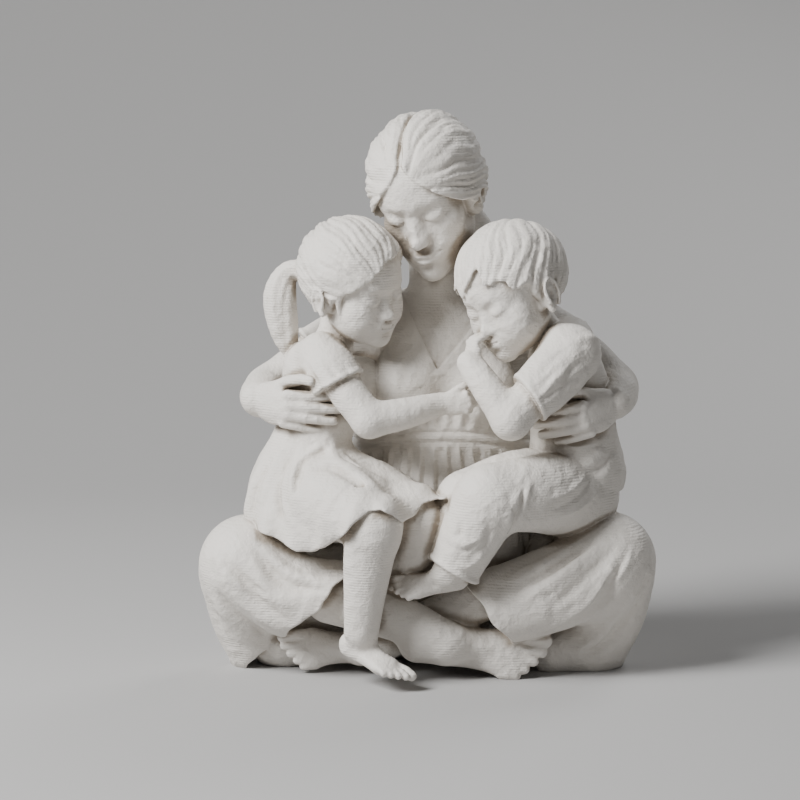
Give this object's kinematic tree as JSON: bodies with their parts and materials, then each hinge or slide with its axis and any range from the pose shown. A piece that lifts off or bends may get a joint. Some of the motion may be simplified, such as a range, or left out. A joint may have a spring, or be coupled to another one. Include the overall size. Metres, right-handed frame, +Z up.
{
  "type": "mother and children sculpture",
  "caption": "Cast sculpture of a seated mother in blouse and trousers, holding a girl and a boy on her lap, with no plinth, for a table or garden.",
  "frame": {"origin": "centre of the bounding box in plan, on the flat underside that the group rests on", "axes": "+Z up, -Y to the front, where the mother's face and feet point, +X to the viewer's right, the boy's side"},
  "size_m": [0.2036, 0.141, 0.25],
  "materials": {
    "cast": "matt off-white plaster or resin with fine layer lines"
  },
  "bodies": {
    "root": {"mother_and_children": "cast"}
  },
  "joints": []
}
